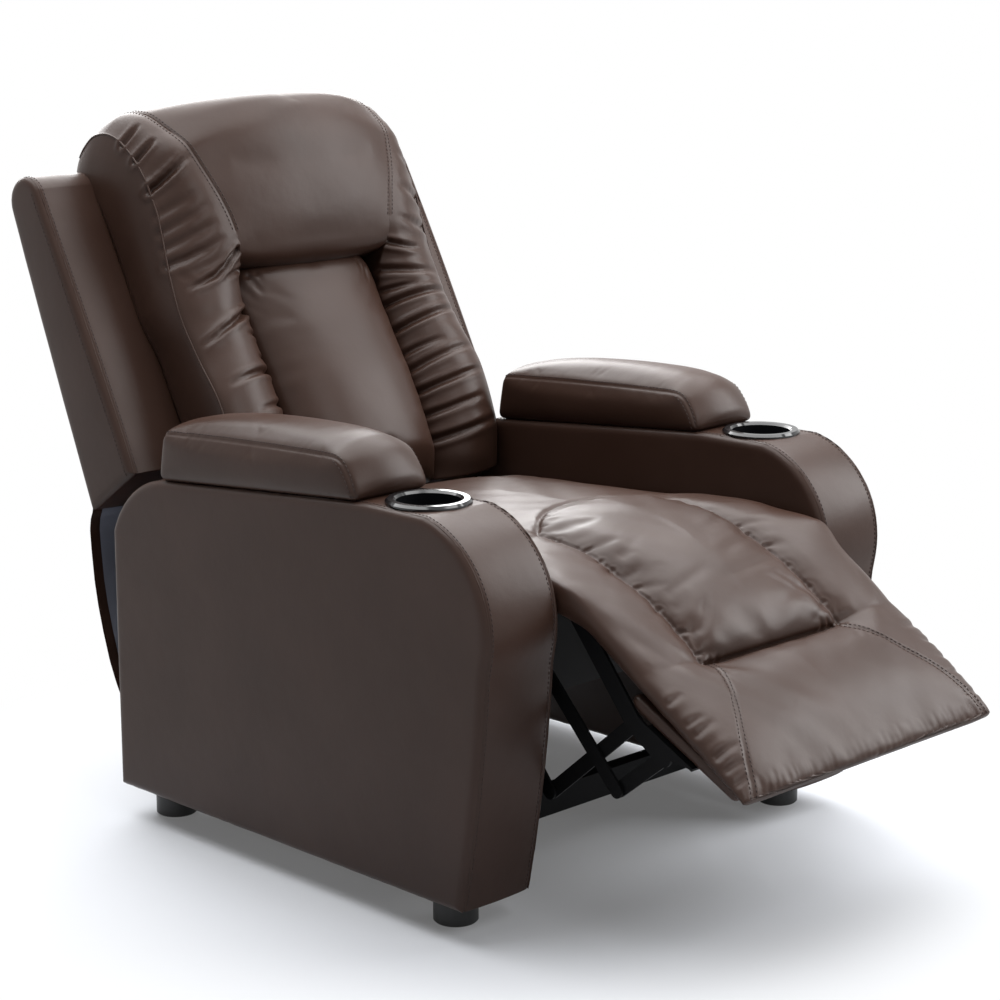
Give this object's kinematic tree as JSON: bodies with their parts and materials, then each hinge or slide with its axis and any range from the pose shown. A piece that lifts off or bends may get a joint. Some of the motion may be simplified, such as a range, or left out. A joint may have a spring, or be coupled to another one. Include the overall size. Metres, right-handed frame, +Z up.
{
  "type": "push-back recliner",
  "caption": "Padded push-back recliner with cup holders in the arms, a reclining head-roll back, a seat that glides with it and a linked swing-out leg rest.",
  "frame": {"origin": "on the floor, under the middle of the chair's box in the stored pose", "axes": "+Z up, the chair faces -Y, the sitter's right is at -X"},
  "size_m": [0.8, 1.3445, 1.0398],
  "materials": {
    "brown_upholstery": "satin",
    "black_gloss": "gloss",
    "black_feet": "matt",
    "zinc_fasteners": "satin",
    "frame_wood": "raw",
    "black_fabric": "woven",
    "nylon": "matt",
    "black_steel": "satin"
  },
  "bodies": {
    "base": {"right_arm_cover": "brown_upholstery", "left_arm_cover": "brown_upholstery", "right_arm_frame": "frame_wood", "left_arm_frame": "frame_wood", "right_arm_pad": "brown_upholstery", "left_arm_pad": "brown_upholstery", "right_cup_holder": "black_gloss", "left_cup_holder": "black_gloss", "right_front_foot": "black_feet", "left_front_foot": "black_feet", "right_rear_foot": "black_feet", "left_rear_foot": "black_feet", "front_cross_rail": "black_steel", "rear_cross_rail": "black_steel", "right_base_rail": "black_steel", "left_base_rail": "black_steel", "rail_bolts": "zinc_fasteners", "recline_pins": "zinc_fasteners", "rear_skirt": "brown_upholstery"},
    "seat": {"seat_front_rail": "black_fabric", "seat_rear_rail": "frame_wood", "right_seat_side_rail": "frame_wood", "left_seat_side_rail": "frame_wood", "seat_springs": "zinc_fasteners", "plate_bolts": "zinc_fasteners", "seat_cushion": "brown_upholstery", "right_side_plate": "black_steel", "left_side_plate": "black_steel", "glide_rollers": "nylon", "link_pivots": "zinc_fasteners", "knee_pins": "zinc_fasteners"},
    "leg_rest": {"footboard": "brown_upholstery", "leg_pad": "brown_upholstery", "right_leg_bracket": "black_steel", "left_leg_bracket": "black_steel", "bracket_screws": "zinc_fasteners"},
    "toe_swing_links": {"right_toe_swing_link": "black_steel", "left_toe_swing_link": "black_steel"},
    "toe_couplers": {"right_toe_coupler": "black_steel", "left_toe_coupler": "black_steel"},
    "heel_swing_links": {"right_heel_swing_link": "black_steel", "left_heel_swing_link": "black_steel"},
    "heel_couplers": {"right_heel_coupler": "black_steel", "left_heel_coupler": "black_steel"},
    "back": {"right_back_post": "frame_wood", "left_back_post": "frame_wood", "back_top_rail": "frame_wood", "back_low_rail": "frame_wood", "back_webbing": "black_fabric", "right_wing": "brown_upholstery", "left_wing": "brown_upholstery", "outside_back": "brown_upholstery", "top_cap": "brown_upholstery", "head_cushion": "brown_upholstery", "lumbar_cushion": "brown_upholstery", "right_side_bolster": "brown_upholstery", "left_side_bolster": "brown_upholstery", "right_back_plate": "black_steel", "left_back_plate": "black_steel", "back_bolts": "zinc_fasteners"}
  },
  "joints": [
    {"name": "back_recline", "type": "hinge", "parent": "base", "child": "back", "pos_m": [0, 0.27838, 0.36], "axis": [-1, 0, 0], "range_deg": [-12, 25], "deforming": ["rear_skirt"]},
    {"name": "seat_glide", "type": "slide", "parent": "base", "child": "seat", "axis": [0, -1, 0], "range_m": [-0.0178, 0.0359]},
    {"name": "leg_swing", "type": "hinge", "parent": "seat", "child": "leg_rest", "pos_m": [0, -0.36162, 0.445], "axis": [-1, 0, 0], "range_deg": [-57, 24]},
    {"name": "toe_swing", "type": "hinge", "parent": "seat", "child": "toe_swing_links", "pos_m": [0, -0.28362, 0.382], "axis": [-1, 0, 0], "range_deg": [-57.5, 24.5]},
    {"name": "toe_couple", "type": "hinge", "parent": "toe_swing_links", "child": "toe_couplers", "pos_m": [0, -0.44962, 0.207], "axis": [-1, 0, 0], "range_deg": [-24.5, 57.5]},
    {"name": "heel_swing", "type": "hinge", "parent": "seat", "child": "heel_swing_links", "pos_m": [0, -0.21662, 0.319], "axis": [-1, 0, 0], "range_deg": [-57.5, 24.5]},
    {"name": "heel_couple", "type": "hinge", "parent": "heel_swing_links", "child": "heel_couplers", "pos_m": [0, -0.33262, 0.177], "axis": [-1, 0, 0], "range_deg": [-24.5, 57.5]}
  ],
  "couplings": [
    {"joint": "seat_glide", "follows": "back_recline", "m_per_rad": 0.08},
    {"joint": "toe_swing", "follows": "leg_swing", "ratio": 1},
    {"joint": "heel_swing", "follows": "leg_swing", "ratio": 1},
    {"joint": "toe_couple", "follows": "leg_swing", "ratio": -1},
    {"joint": "heel_couple", "follows": "leg_swing", "ratio": -1}
  ]
}
